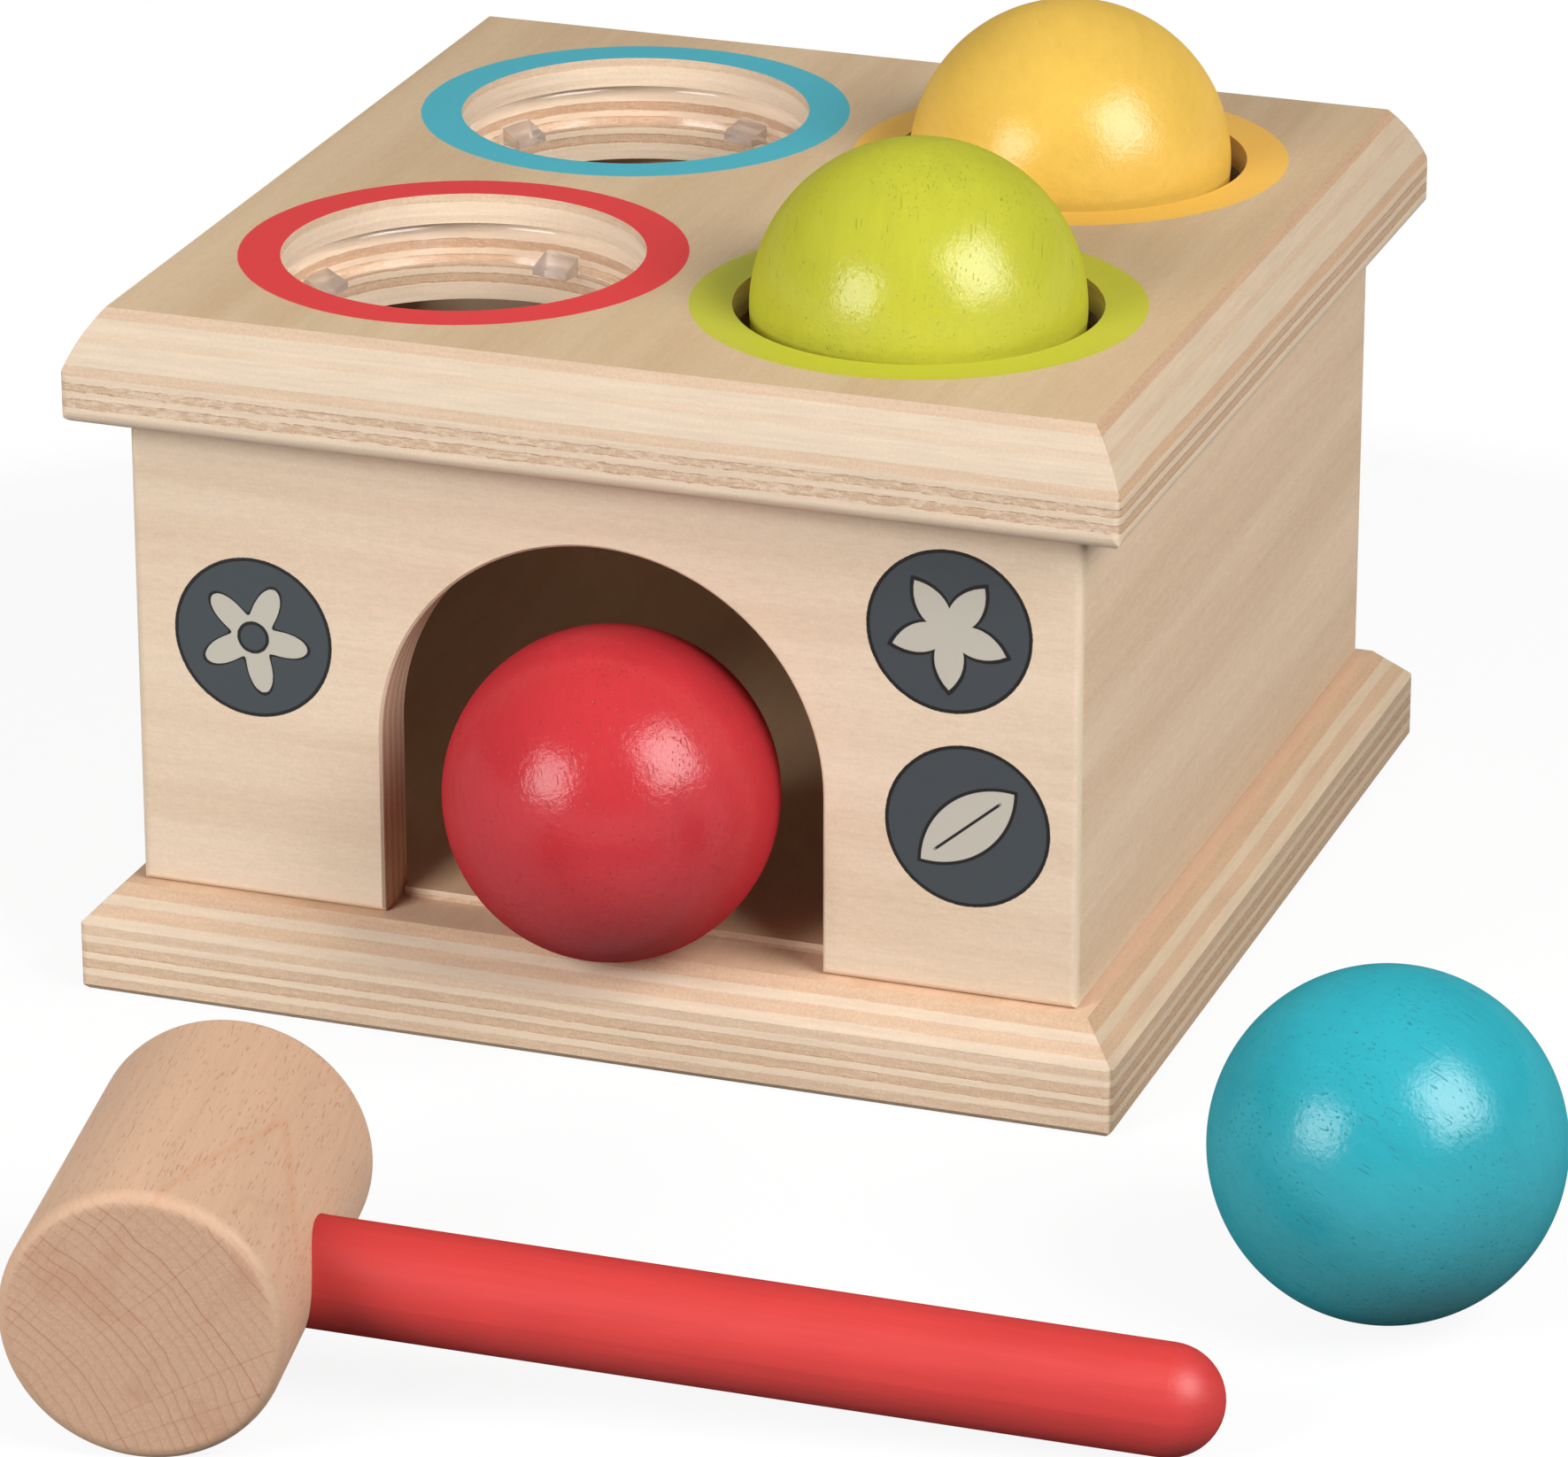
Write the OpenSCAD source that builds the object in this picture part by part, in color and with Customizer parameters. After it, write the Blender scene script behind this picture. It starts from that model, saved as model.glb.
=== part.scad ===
// Ball pounding box: a plywood box with four ball holes in its top, a ramp inside that
// brings the balls out of an arch in the front, four wooden balls and a small hammer.
// Origin: middle of the base board's underside. +Z is up, the arch faces -Y. Millimetres.

/* [Balls] */
// Diameter of the four balls
ball_d = 50; // [46:0.5:54]
// Room all round a ball in its hole
ball_clearance = 2.5; // [2:0.25:4]
// Where the red ball stands, right of the middle of the arch
red_ball_x = 2.5; // [-5:0.5:5]
// How far the red ball's middle stands out past the front panel
red_ball_out = 1.8; // [1:0.1:2]
// Gap from the base board's right side to the blue ball
blue_ball_aside = 27; // [5:1:60]
// Gap from the base board's front to the blue ball
blue_ball_ahead = 15; // [5:1:40]

/* [Box] */
// Wood between the left and right holes
bridge_x = 17; // [10:0.5:30]
// Wood between the front and back holes
bridge_y = 19; // [10:0.5:30]
// Room between a falling ball and the side panels
side_gap = 4.25; // [2:0.25:12]
// Room between a falling ball and the front panel
front_gap = 5.25; // [2:0.25:12]
// Room between a falling ball and the back panel
back_gap = 3.5; // [2:0.25:12]
// Thickness of the four panels
wall_t = 9; // [8:0.5:12]
// Height of the four panels
wall_h = 75; // [72:1:100]
// Rounding of the box's upright corners
wall_corner_r = 1.5; // [0.5:0.25:3]
// Rounding of the panels' lower outer edges
wall_edge_r = 1.2; // [0.4:0.1:2.5]

/* [Arch] */
// Room beside a ball in the arch
arch_side_gap = 9.75; // [4:0.25:12]
// Height of the straight part of the arch's sides
jamb_h = 28; // [20:1:30]
// Chamfer that softens the arch's front edge
arch_ease = 0.4; // [0.2:0.1:1.5]

/* [Boards] */
// Thickness of the base board
base_t = 16.25; // [14:0.25:22]
// Thickness of the top board
top_t = 17; // [15:0.25:22]
// How far both boards stand out past the panels
overhang = 7.5; // [7:0.25:12]
// Chamfer along the base board's upper edges
base_chamfer = 5.5; // [3:0.25:5.75]
// Chamfer that eases the base board's lower edges
base_ease = 1; // [0.5:0.25:2]
// How far the moulding along the top board's upper edges reaches in over the top face
moulding_inset = 5.5; // [3:0.1:6.5]
// How far that moulding reaches down the board's edge
moulding_drop = 9.75; // [7:0.25:11]
// Radius of the moulding's curve
moulding_r = 28; // [20:1:60]
// Rounding of the top board's lower edges
lower_edge_r = 2; // [0.5:0.25:3]
// Rounding of both boards' upright corners
board_corner_r = 1.2; // [0.5:0.1:3]

/* [Retaining rings] */
// Depth of a ring's upper edge below the top face
ring_drop = 4.8; // [4:0.1:6]
// Height of a ring
ring_h = 6.3; // [4:0.1:7]
// Thickness of a ring's wall
ring_wall = 2.4; // [1.5:0.1:3.5]
// Rounding of a ring's upper inner edge
ring_edge_r = 1; // [0.4:0.1:1.4]
// Room round a ring in its groove
ring_clearance = 0.1; // [0.05:0.05:0.3]
// Number of lugs on a ring
lug_count = 4; // [3:1:6]
// How far a lug stands in from the ring
lug_len = 4.2; // [3.8:0.05:4.6]
// Width of a lug
lug_w = 6; // [3:0.5:8]
// Thickness of a lug at the ring
lug_root_t = 3; // [2:0.1:3.5]
// Thickness of a lug at its tip
lug_tip_t = 1.2; // [0.8:0.1:2]
// Gap between a lug and the ball that it holds
seat_gap = 0.15; // [0.05:0.05:0.3]

/* [Ramp] */
// Thickness of the ramp board
ramp_t = 3; // [2:0.5:4]
// Slope of the ramp, in degrees
ramp_slope = 8; // [5:0.5:10]
// Height of the ramp's front edge above the base board
ramp_lip = 1.5; // [0.8:0.1:1.8]
// Setback of the ramp's front edge from the front panel's face
ramp_setback = 7.2; // [7:0.1:8]
// Room between the ramp and the panels round it
ramp_clearance = 0.3; // [0.2:0.1:0.8]
// Depth of the cleat under the ramp's back edge, front to back
cleat_d = 12; // [8:1:20]

/* [Dowels] */
// Diameter of the dowels that join the panels to the boards
dowel_d = 5; // [4:0.5:6]
// Length of a dowel
dowel_l = 20; // [16:1:22]
// How far a dowel goes into a board
dowel_in_board = 8; // [6:0.5:9]
// Distance from an inside corner of the box to the nearest dowel
dowel_margin = 10; // [8:0.5:12]
// Difference between a dowel hole and its dowel, in diameter
dowel_clearance = 0.1; // [0.05:0.05:0.3]
// Spare depth at a dowel hole's end
dowel_spare = 0.5; // [0.2:0.1:1]

/* [Hammer] */
// Diameter of the hammer's head
head_d = 39.5; // [30:0.5:50]
// Length of the hammer's head
head_l = 58.5; // [45:0.5:75]
// Rounding of the head's two rims
head_rim_r = 2; // [1:0.25:4]
// Diameter of the handle
handle_d = 15.6; // [12:0.2:20]
// Length from the head's middle line to the handle's tip
handle_reach = 143; // [100:1:180]
// How far the handle sits off the head's middle
handle_offset = 5; // [0:0.5:8]
// How far the handle goes into the head past its middle line
handle_socket = 8; // [0:0.5:10]
// Difference between the handle's hole and the handle, in diameter
handle_clearance = 0.1; // [0.05:0.05:0.3]
// Where the head lies, right of the box's middle
hammer_x = -15.2; // [-40:0.1:20]
// Distance from the base board's front to the head's middle
hammer_ahead = 111.2; // [100:0.1:160]
// How far the head is turned from pointing straight ahead, in degrees
hammer_turn = 10.4; // [0:0.1:20]

/* [Hidden] */
$fn = 96;
// Cutters run this far past the face that they cut
past = 1;
// Lift of a loose ball off the board under it
rest_gap = 0.3;

// Holes, and the box that follows from them
ball_r = ball_d / 2;
hole_r = ball_r + ball_clearance;
pitch_x = 2 * hole_r + bridge_x;
pitch_y = 2 * hole_r + bridge_y;
inner_w = pitch_x + ball_d + 2 * side_gap;
inner_d = pitch_y + ball_d + front_gap + back_gap;
box_w = inner_w + 2 * wall_t;
box_d = inner_d + 2 * wall_t;
hole_x = pitch_x / 2;
hole_front_y = -inner_d / 2 + front_gap + ball_r;
hole_back_y = hole_front_y + pitch_y;
hole_places = [for (x = [-hole_x, hole_x], y = [hole_front_y, hole_back_y]) [x, y]];

// Boards
board_w = box_w + 2 * overhang;
board_d = box_d + 2 * overhang;
wall_top = base_t + wall_h;
top_z = wall_top + top_t;
front_y = -box_d / 2;

// Moulding: its curve ends on the top face and on the board's edge, and these two ends give
// the curve's middle, measured in from the edge and down from the top face
moulding_chord = sqrt(moulding_inset * moulding_inset + moulding_drop * moulding_drop);
moulding_depth = sqrt(moulding_r * moulding_r - moulding_chord * moulding_chord / 4);
moulding_mid_in = moulding_inset / 2 + moulding_depth * moulding_drop / moulding_chord;
moulding_mid_down = moulding_drop / 2 + moulding_depth * moulding_inset / moulding_chord;

// Retaining rings, and the height at which they hold a ball
ring_low = top_z - ring_drop - ring_h;
lug_top = ring_low + lug_tip_t;
lug_tip_r = hole_r - lug_len;
held_ball_z = lug_top + sqrt((ball_r + seat_gap) * (ball_r + seat_gap) - lug_tip_r * lug_tip_r);
// Direction of the first lug of each ring, in degrees
turn_front_left = 78;
turn_back_left = 66;
turn_front_right = 45;
turn_back_right = 30;

// Arch and ramp
arch_w = ball_d + 2 * arch_side_gap;
ramp_front_y = front_y + ramp_setback;
ramp_back_y = inner_d / 2 - ramp_clearance;
function ramp_top(y) = base_t + ramp_lip + (y - ramp_front_y) * tan(ramp_slope);
function ramp_under(y) = ramp_top(y) - ramp_t / cos(ramp_slope);
// Where the ramp's underside meets the base board
ramp_seat_y = ramp_front_y + (ramp_t / cos(ramp_slope) - ramp_lip) / tan(ramp_slope);

// Dowels: places along each panel's middle line
dowel_x = inner_w / 2 - dowel_margin;
dowel_y = inner_d / 2 - dowel_margin;
front_dowels = [for (s = [-1, 1]) [s * dowel_x, -(inner_d + wall_t) / 2]];
back_dowels = [for (p = front_dowels) [p[0], -p[1]]];
left_dowels = [for (s = [-1, 1]) [-(inner_w + wall_t) / 2, s * dowel_y]];
right_dowels = [for (p = left_dowels) [-p[0], p[1]]];
all_dowels = concat(front_dowels, back_dowels, left_dowels, right_dowels);
base_dowel_z = base_t - dowel_in_board;
top_dowel_z = wall_top + dowel_in_board - dowel_l;

// Hammer
head_r = head_d / 2;
handle_r = handle_d / 2;
handle_tip = handle_reach - handle_r;
// The handle's tip and the head both lie on the floor
handle_droop = asin((head_r - handle_r) / handle_tip);
hammer_y = -board_d / 2 - hammer_ahead;

// Rectangle about the origin with rounded corners
module rounded_rect(w, d, r) {
    square([w - 2 * r, d], center = true);
    square([w, d - 2 * r], center = true);
    for (x = [-1, 1], y = [-1, 1])
        translate([x * (w / 2 - r), y * (d / 2 - r)]) circle(r);
}

// What a rounding of radius r takes off the lower right corner of a section w wide
module lower_edge_cut(w, r) {
    difference() {
        translate([w / 2 - r, -past]) square([r + past, r + past]);
        translate([w / 2 - r, r]) circle(r);
    }
}

// Section of the base board: chamfer above, small chamfer below
module base_section(w) {
    difference() {
        translate([-w / 2, 0]) square([w, base_t]);
        for (s = [0, 1]) mirror([s, 0]) {
            polygon([
                [w / 2 - base_chamfer, base_t], [w / 2, base_t - base_chamfer],
                [w / 2 + past, base_t - base_chamfer], [w / 2 + past, base_t + past],
                [w / 2 - base_chamfer, base_t + past]
            ]);
            polygon([
                [w / 2 - base_ease, 0], [w / 2, base_ease],
                [w / 2 + past, base_ease], [w / 2 + past, -past],
                [w / 2 - base_ease, -past]
            ]);
        }
    }
}

// Section of the top board: convex moulding above, small rounding below
module top_section(w) {
    difference() {
        translate([-w / 2, 0]) square([w, top_t]);
        for (s = [0, 1]) mirror([s, 0]) {
            difference() {
                translate([w / 2 - moulding_inset, top_t - moulding_drop])
                    square([moulding_inset + past, moulding_drop + past]);
                translate([w / 2 - moulding_mid_in, top_t - moulding_mid_down]) circle(moulding_r);
            }
            lower_edge_cut(w, lower_edge_r);
        }
    }
}

// Upright holes for dowels at the given places
module dowel_holes(places, low, high) {
    for (p = places)
        translate([p[0], p[1], low]) cylinder(d = dowel_d + dowel_clearance, h = high - low);
}

// Dowels at the given places
module dowels(places, low) {
    for (p = places)
        translate([p[0], p[1], low]) cylinder(d = dowel_d, h = dowel_l);
}

module base_board() {
    color("BurlyWood")
    difference() {
        intersection() {
            rotate([90, 0, 0]) linear_extrude(board_d + 2 * past, center = true) base_section(board_w);
            rotate([90, 0, 90]) linear_extrude(board_w + 2 * past, center = true) base_section(board_d);
            translate([0, 0, -past]) linear_extrude(base_t + 2 * past)
                rounded_rect(board_w, board_d, board_corner_r);
        }
        dowel_holes(all_dowels, base_dowel_z - dowel_spare, base_t + past);
    }
}

module top_board() {
    color("BurlyWood")
    difference() {
        translate([0, 0, wall_top]) intersection() {
            rotate([90, 0, 0]) linear_extrude(board_d + 2 * past, center = true) top_section(board_w);
            rotate([90, 0, 90]) linear_extrude(board_w + 2 * past, center = true) top_section(board_d);
            translate([0, 0, -past]) linear_extrude(top_t + 2 * past)
                rounded_rect(board_w, board_d, board_corner_r);
        }
        for (p = hole_places) translate([p[0], p[1], 0]) {
            translate([0, 0, wall_top - past]) cylinder(r = hole_r, h = top_t + 2 * past);
            translate([0, 0, ring_low - ring_clearance])
                cylinder(r = hole_r + ring_wall + ring_clearance, h = ring_h + 2 * ring_clearance);
        }
        dowel_holes(all_dowels, wall_top - past, wall_top + dowel_in_board + dowel_spare);
    }
}

// Section of a panel at the front of a box d deep, with its lower outer edge rounded
module panel_section(d) {
    difference() {
        translate([-d / 2, 0]) square([wall_t + past, wall_h]);
        mirror([1, 0]) lower_edge_cut(d, wall_edge_r);
    }
}

// One panel, mitred at both ends, at the front of a box w wide and d deep
module mitred_panel(w, d) {
    translate([0, 0, base_t]) intersection() {
        linear_extrude(wall_h) intersection() {
            polygon([
                [-w / 2, -d / 2], [w / 2, -d / 2],
                [w / 2 - wall_t, -d / 2 + wall_t], [-w / 2 + wall_t, -d / 2 + wall_t]
            ]);
            rounded_rect(w, d, wall_corner_r);
        }
        rotate([90, 0, 90]) linear_extrude(w + 2 * past, center = true) panel_section(d);
    }
}

// Dowel holes in a panel's lower and upper edges
module panel_dowel_holes(places) {
    dowel_holes(places, base_t - past, base_dowel_z + dowel_l + dowel_spare);
    dowel_holes(places, top_dowel_z - dowel_spare, wall_top + past);
}

// Outline of the arch, standing on the base board
module arch_outline(w) {
    translate([-w / 2, -past]) square([w, jamb_h + past]);
    translate([0, jamb_h]) circle(d = w);
}

// The arch's opening, with its front edge eased
module arch_cut() {
    translate([0, front_y, base_t]) {
        translate([0, wall_t + past, 0]) rotate([90, 0, 0]) linear_extrude(wall_t + 2 * past) arch_outline(arch_w);
        translate([0, 0, jamb_h]) rotate([-90, 0, 0])
            cylinder(r1 = arch_w / 2 + arch_ease, r2 = arch_w / 2, h = arch_ease);
        for (s = [0, 1]) mirror([s, 0, 0]) translate([0, 0, -past]) linear_extrude(jamb_h + past)
            polygon([
                [arch_w / 2 - past, 0], [arch_w / 2 + arch_ease, 0],
                [arch_w / 2, arch_ease], [arch_w / 2 - past, arch_ease]
            ]);
    }
}

module front_panel() {
    color("Bisque")
    difference() {
        mitred_panel(box_w, box_d);
        arch_cut();
        panel_dowel_holes(front_dowels);
    }
}

module back_panel() {
    color("Bisque")
    difference() {
        rotate([0, 0, 180]) mitred_panel(box_w, box_d);
        panel_dowel_holes(back_dowels);
    }
}

module left_panel() {
    color("Bisque")
    difference() {
        rotate([0, 0, -90]) mitred_panel(box_d, box_w);
        panel_dowel_holes(left_dowels);
    }
}

module right_panel() {
    color("Bisque")
    difference() {
        rotate([0, 0, 90]) mitred_panel(box_d, box_w);
        panel_dowel_holes(right_dowels);
    }
}

// Section of a ring, its upper inner edge rounded
module ring_section() {
    translate([hole_r, 0]) square([ring_wall, ring_h - ring_edge_r]);
    translate([hole_r + ring_edge_r, 0]) square([ring_wall - ring_edge_r, ring_h]);
    translate([hole_r + ring_edge_r, ring_h - ring_edge_r]) circle(ring_edge_r);
}

// Wedge that stands in from a ring, thinner at its tip
module lug() {
    root_r = hole_r + ring_wall / 2;
    translate([0, lug_w / 2, 0]) rotate([90, 0, 0]) linear_extrude(lug_w) polygon([
        [lug_tip_r, 0], [root_r, 0], [root_r, lug_root_t], [hole_r, lug_root_t], [lug_tip_r, lug_tip_t]
    ]);
}

// Clear ring at a hole's middle, with lugs that hold a ball until it is struck
module retaining_ring(x, y, turn) {
    color("GhostWhite", 0.6)
    translate([x, y, ring_low]) {
        rotate_extrude() ring_section();
        for (i = [0 : lug_count - 1]) rotate([0, 0, turn + i * 360 / lug_count]) lug();
    }
}

module ring_front_left() {
    retaining_ring(-hole_x, hole_front_y, turn_front_left);
}

module ring_back_left() {
    retaining_ring(-hole_x, hole_back_y, turn_back_left);
}

module ring_front_right() {
    retaining_ring(hole_x, hole_front_y, turn_front_right);
}

module ring_back_right() {
    retaining_ring(hole_x, hole_back_y, turn_back_right);
}

// Sloping sheet; its front edge is planed to lie on the base board, with a tongue in the arch
module ramp_board() {
    body_front_y = -inner_d / 2 + ramp_clearance;
    body_w = inner_w - 2 * ramp_clearance;
    tongue_w = arch_w - 2 * ramp_clearance;
    color("Tan")
    intersection() {
        rotate([90, 0, 90]) linear_extrude(body_w, center = true) polygon([
            [ramp_front_y, base_t], [ramp_front_y, base_t + ramp_lip],
            [ramp_back_y, ramp_top(ramp_back_y)], [ramp_back_y, ramp_under(ramp_back_y)],
            [ramp_seat_y, base_t]
        ]);
        linear_extrude(wall_top) {
            translate([-body_w / 2, body_front_y]) square([body_w, ramp_back_y - body_front_y]);
            translate([-tongue_w / 2, ramp_front_y]) square([tongue_w, ramp_back_y - ramp_front_y]);
        }
    }
}

// Strip under the ramp's back edge
module ramp_cleat() {
    cleat_front_y = ramp_back_y - cleat_d;
    color("Tan")
    rotate([90, 0, 90]) linear_extrude(inner_w - 2 * ramp_clearance, center = true) polygon([
        [cleat_front_y, base_t], [ramp_back_y, base_t],
        [ramp_back_y, ramp_under(ramp_back_y)], [cleat_front_y, ramp_under(cleat_front_y)]
    ]);
}

module base_dowels() {
    color("Wheat") dowels(all_dowels, base_dowel_z);
}

module top_dowels() {
    color("Wheat") dowels(all_dowels, top_dowel_z);
}

module red_ball() {
    color("Crimson")
    translate([red_ball_x, front_y - red_ball_out, base_t + rest_gap + ball_r]) sphere(d = ball_d);
}

module blue_ball() {
    color("DarkTurquoise")
    translate([board_w / 2 + blue_ball_aside + ball_r, -board_d / 2 - blue_ball_ahead - ball_r, ball_r])
        sphere(d = ball_d);
}

module green_ball() {
    color("YellowGreen") translate([hole_x, hole_front_y, held_ball_z]) sphere(d = ball_d);
}

module yellow_ball() {
    color("Gold") translate([hole_x, hole_back_y, held_ball_z]) sphere(d = ball_d);
}

// Places the hammer as it lies: head along X, handle along Y
module lay_hammer() {
    translate([hammer_x, hammer_y, head_r])
        rotate([0, 0, hammer_turn - 90]) rotate([-handle_droop, 0, 0]) children();
}

module hammer_head() {
    color("BurlyWood")
    lay_hammer() difference() {
        rotate([0, 90, 0]) rotate_extrude() {
            translate([0, -head_l / 2]) square([head_r - head_rim_r, head_l]);
            translate([0, -head_l / 2 + head_rim_r]) square([head_r, head_l - 2 * head_rim_r]);
            for (s = [-1, 1]) translate([head_r - head_rim_r, s * (head_l / 2 - head_rim_r)]) circle(head_rim_r);
        }
        translate([handle_offset, -handle_socket - handle_clearance, 0]) rotate([-90, 0, 0])
            cylinder(d = handle_d + handle_clearance, h = handle_socket + head_r + past);
    }
}

// Half of the handle's outline, from its end in the head to its round tip
module handle_outline() {
    intersection() {
        translate([0, -handle_socket]) square([handle_r, handle_socket + handle_reach]);
        union() {
            translate([0, -handle_socket]) square([handle_r, handle_socket + handle_tip]);
            translate([0, handle_tip]) circle(handle_r);
        }
    }
}

module hammer_handle() {
    color("Crimson")
    lay_hammer() translate([handle_offset, 0, 0]) rotate([-90, 0, 0]) rotate_extrude() handle_outline();
}

base_board();
front_panel();
back_panel();
left_panel();
right_panel();
top_board();
ring_front_left();
ring_back_left();
ring_front_right();
ring_back_right();
ramp_board();
ramp_cleat();
base_dowels();
top_dowels();
red_ball();
blue_ball();
green_ball();
yellow_ball();
hammer_head();
hammer_handle();
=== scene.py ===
"""Looks of a wooden ball pounding box: plywood, painted rings, clear rings, balls and hammer.

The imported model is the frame. Places and sizes come from it, in metres; the patterns of the
finishes are worked out in millimetres.
"""

import math

import bpy
import numpy as np
from mathutils import Matrix, Vector


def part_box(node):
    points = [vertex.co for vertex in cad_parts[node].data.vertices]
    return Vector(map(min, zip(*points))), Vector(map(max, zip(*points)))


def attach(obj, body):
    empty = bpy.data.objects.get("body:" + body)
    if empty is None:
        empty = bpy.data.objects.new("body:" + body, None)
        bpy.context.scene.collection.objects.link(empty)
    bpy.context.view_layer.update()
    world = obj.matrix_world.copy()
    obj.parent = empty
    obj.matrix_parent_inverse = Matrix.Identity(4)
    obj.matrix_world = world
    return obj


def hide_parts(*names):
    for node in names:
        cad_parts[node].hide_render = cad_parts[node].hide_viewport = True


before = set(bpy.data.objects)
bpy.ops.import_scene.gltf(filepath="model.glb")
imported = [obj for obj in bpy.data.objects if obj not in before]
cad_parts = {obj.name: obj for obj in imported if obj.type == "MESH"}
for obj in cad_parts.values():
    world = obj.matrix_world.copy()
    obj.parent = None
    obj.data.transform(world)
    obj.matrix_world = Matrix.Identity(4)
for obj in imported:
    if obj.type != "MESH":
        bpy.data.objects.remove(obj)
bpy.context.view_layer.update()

bl_info = {
    "name": "Ball Pounding Box",
    "version": (1, 0, 0),
    "blender": (4, 5, 0),
    "location": "3D View > Sidebar > Pounding Box",
    "description": "Dresses a wooden ball pounding box and sets it on a studio stage",
    "category": "Object",
}

MM = 0.001
HOLES = ("front_left", "back_left", "front_right", "back_right")
BALLS = ("red", "blue", "green", "yellow")
BALL_GRID = 64

# Plies from the underside, or from the inside, of a sheet: thickness in millimetres, and how brown
TOP_PLIES = (
    (2.75, 0.0), (0.2, 1.0), (1.1, 0.7), (0.2, 1.0), (1.05, 0.1), (0.2, 1.0), (0.9, 0.65), (0.2, 1.0),
    (1.0, 0.1), (1.5, 0.9), (3.3, 0.0), (1.2, 0.35), (2.0, 0.08), (1.4, 0.95),
)
BASE_PLIES = (
    (2.45, 0.6), (1.2, 0.05), (0.2, 0.95), (1.35, 0.75), (1.1, 0.05), (0.2, 1.0), (1.5, 0.7),
    (1.1, 0.05), (1.6, 0.5), (1.25, 0.0), (1.5, 0.6), (1.2, 0.05), (1.6, 0.75),
)
PANEL_PLIES = (
    (0.8, 0.1), (1.2, 0.8), (1.0, 0.3), (1.3, 0.9), (0.9, 0.3), (1.3, 0.8), (0.9, 0.3), (0.9, 0.8), (0.7, 0.1),
)
RAMP_PLIES = ((0.6, 0.8), (1.2, 0.1), (1.2, 0.7))

# How strongly veneer varies, how rough bare wood is, and how much wood and paint shine
BOARD_CONTRAST, FRONT_CONTRAST, SIDE_CONTRAST, PLAIN_CONTRAST = 0.24, 0.25, 0.32, 0.16
DULL_ROUGH = 0.6
WOOD_SHINE, BEECH_SHINE = 0.3, 0.35
BALL_GLOSS, PORE_GLOSS_LOSS, HANDLE_GLOSS = 0.026, 0.012, 0.025

# Looks of a board's edges, each at the front, at the sides and inside holes: brown on upright edges,
# brown on slopes, raggedness, painted light level on upright edges, painted light level on slopes, and warmth.
# The two levels are painted light and shade by facing: the sides and slopes darker, the base's front edge
# and the insides of the top board's holes lighter
TOP_LOOKS = (
    (1.0, 1.25, 1.2), (0.5, 0.85, 0.9), (0.85, 0.15, 0.3), (0.98, 0.93, 1.10), (0.92, 0.92, 1.0), (0.0, 0.8, 0.0),
)
BASE_LOOKS = (
    (1.0, 1.2, 1.0), (0.95, 1.0, 1.0), (0.3, 0.3, 0.0), (1.15, 0.83, 1.0), (0.98, 0.92, 1.0), (0.1, 0.9, 0.0),
)


def linear(red, green, blue):
    """A colour given as 0 to 255 in sRGB, as linear values."""
    shares = np.array([red, green, blue]) / 255
    return tuple(np.where(shares <= 0.04045, shares / 12.92, ((shares + 0.055) / 1.055) ** 2.4).tolist())


def middle(node):
    """Middle of a node's box, in metres."""
    low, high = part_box(node)
    return (low + high) / 2


def vertices(node):
    """A node's vertices as an array, in metres."""
    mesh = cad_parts[node].data
    flat = np.empty(len(mesh.vertices) * 3)
    mesh.vertices.foreach_get("co", flat)
    return flat.reshape(-1, 3)


def hole_radius():
    """Radius of a ball hole: the shortest way from a hole's middle to the top face's vertices."""
    points = vertices("top_board")
    top = points[points[:, 2] > points[:, 2].max() - 0.01 * MM]
    centre = np.array(middle("ring_front_left"))
    return float(np.hypot(*(top[:, :2] - centre[:2]).T).min())


def top_z():
    """Height of the top board's upper face, in millimetres."""
    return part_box("top_board")[1].z / MM


def handle_direction():
    """Unit vector along the hammer's handle, from the head to the tip: its vertices' long axis."""
    points = vertices("hammer_handle")
    spread = points - points.mean(axis=0)
    axis = np.linalg.svd(spread, full_matrices=False)[2][0]
    return Vector(axis if axis[0] > 0 else -axis)


def colour_property(name, description, red, green, blue):
    """A colour that a user would change, given as 0 to 255 in sRGB."""
    return bpy.props.FloatVectorProperty(
        name=name, description=description, subtype="COLOR", min=0, max=1, default=linear(red, green, blue)
    )


def size_property(name, description, millimetres):
    """A length that a user would change, given in millimetres."""
    return bpy.props.FloatProperty(
        name=name, description=description, subtype="DISTANCE", unit="LENGTH", min=0, default=millimetres * MM
    )


class WoodSettings(bpy.types.PropertyGroup):
    """Colours and layers of the bare wood."""

    top_veneer: colour_property("Top veneer", "Upper face of the top board", 210, 183, 148)
    base_veneer: colour_property("Base veneer", "Upper face of the base board", 215, 182, 153)
    panel_veneer: colour_property("Panel veneer", "Face of the front and back panels", 230, 208, 183)
    side_veneer: colour_property("Side veneer", "Face of the left and right panels", 220, 193, 163)
    ramp_veneer: colour_property("Ramp veneer", "Face of the ramp", 206, 172, 138)
    pale_ply: colour_property("Pale ply", "Pale plies of a cut edge", 228, 207, 182)
    brown_ply: colour_property("Brown ply", "Brown plies of an upright edge", 198, 162, 131)
    warm_ply: colour_property("Warm ply", "Brown plies where an edge slopes", 205, 166, 133)
    # Painted shade: a darker copy of the pale ply for sloping edges
    shaded_slope_ply: colour_property("Slope ply", "Pale plies where an edge slopes", 217, 197, 173)
    beech: colour_property("Beech", "Long grain of the hammer's head", 210, 172, 142)
    beech_end: colour_property("Beech end grain", "Ends of the hammer's head", 198, 161, 134)
    beech_fleck: colour_property("Beech fleck", "Short rays and pores of the beech", 168, 110, 80)
    beech_vein: colour_property("Beech vein", "Warm growth lines along the head", 204, 148, 108)


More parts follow.
